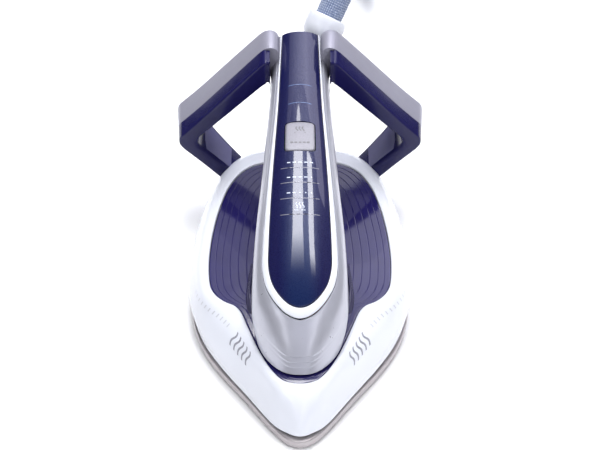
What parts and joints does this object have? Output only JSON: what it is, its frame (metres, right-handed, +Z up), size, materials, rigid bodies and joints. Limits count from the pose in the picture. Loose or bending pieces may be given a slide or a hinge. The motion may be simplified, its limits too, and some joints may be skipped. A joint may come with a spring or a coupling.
{
  "type": "clothes iron",
  "caption": "Hand iron of a steam generator set: metal sole, white skirt, blue cover, raised handle with top panel, open heel ring and a textile steam hose on a swivel.",
  "frame": {"origin": "on the sole plane, under the centre of the iron's own box, without the hose and its collar", "axes": "+Y from the nose to the heel, +X to the right seen from the nose, +Z up from the sole"},
  "size_m": [0.1444, 0.737, 0.1818],
  "materials": {
    "sole_metal": "satin polished pressed sole",
    "cast_metal": "as cast",
    "white_plastic": "glossy moulded, slightly cold white",
    "navy_cover": "glossy dark blue, slightly translucent",
    "navy_shell": "glossy moulded navy",
    "panel_blue": "metallic blue under a clear gloss",
    "silver_plastic": "silver painted, satin",
    "grey_shell": "light lilac grey, satin",
    "button_silver": "silver satin",
    "dark_grip": "soft matt navy",
    "inner_plastic": "plain moulded",
    "board_green": "solder mask",
    "clear_guide": "clear light guide",
    "spring_steel": "plated steel",
    "insulation": "pressed heat insulation",
    "silicone": "silicone pipe",
    "hose_textile": "braided textile sheath, blue grey",
    "grey_rubber": "matt rubber",
    "brass": "turned brass"
  },
  "bodies": {
    "root": {"soleplate": "sole_metal", "heater_casting": "cast_metal", "heating_element": "cast_metal", "element_terminal_left": "brass", "element_terminal_right": "brass", "steam_chamber_cover": "cast_metal", "chamber_screw_1": "spring_steel", "chamber_screw_2": "spring_steel", "chamber_screw_3": "spring_steel", "chamber_screw_4": "spring_steel", "temperature_sensor": "cast_metal", "thermal_fuse": "insulation", "heat_shield": "insulation", "steam_inlet": "brass", "base_skirt": "white_plastic", "base_cover": "navy_cover", "rear_bracket": "inner_plastic", "bracket_screw_left": "spring_steel", "bracket_screw_right": "spring_steel", "handle_shell": "silver_plastic", "handle_trim": "white_plastic", "handle_top_panel": "panel_blue", "handle_grip": "dark_grip", "inner_frame": "inner_plastic", "control_board": "board_green", "light_guide": "clear_guide", "button_spring": "spring_steel", "button_switch": "inner_plastic", "trigger_pin": "spring_steel", "trigger_spring": "spring_steel", "trigger_switch": "inner_plastic", "heel_outer_shell_left": "grey_shell", "heel_outer_shell_right": "grey_shell", "heel_inner_frame_left": "navy_shell", "heel_inner_frame_right": "navy_shell", "rear_housing": "white_plastic", "steam_tube": "silicone", "wire_harness": "grey_rubber", "terminal_block": "inner_plastic", "base_connector": "inner_plastic", "column_rib_left": "silver_plastic", "column_rib_right": "silver_plastic", "steam_hose": "hose_textile", "steam_hose_hank": "hose_textile", "steam_hose_tail": "hose_textile", "hank_clip": "grey_rubber", "hose_end_sleeve": "white_plastic", "hose_end_flange": "white_plastic", "steam_nipple": "brass"},
    "button": {"steam_button": "button_silver"},
    "trigger": {"steam_trigger": "button_silver"},
    "cord_swivel": {"cord_collar": "white_plastic", "swivel_retainer": "inner_plastic"}
  },
  "joints": [
    {"name": "button_press", "type": "slide", "parent": "root", "child": "button", "axis": [0, 0.2521, -0.9677], "range_m": [0, 0.0015], "stiffness_N_per_m": 400, "springref_m": -0.0006, "deforming": ["button_spring"]},
    {"name": "trigger_press", "type": "hinge", "parent": "root", "child": "trigger", "pos_m": [0, -0.03113, 0.05674], "axis": [1, 0, 0], "range_deg": [0, 4], "stiffness_Nm_per_rad": 0.6, "springref_deg": -2.29, "deforming": ["trigger_spring"]},
    {"name": "cord_swivel", "type": "hinge", "parent": "root", "child": "cord_swivel", "pos_m": [0.01315, 0.11441, 0.10949], "axis": [0.4194, 0.4493, 0.7888], "range_deg": [-60, 60]}
  ]
}
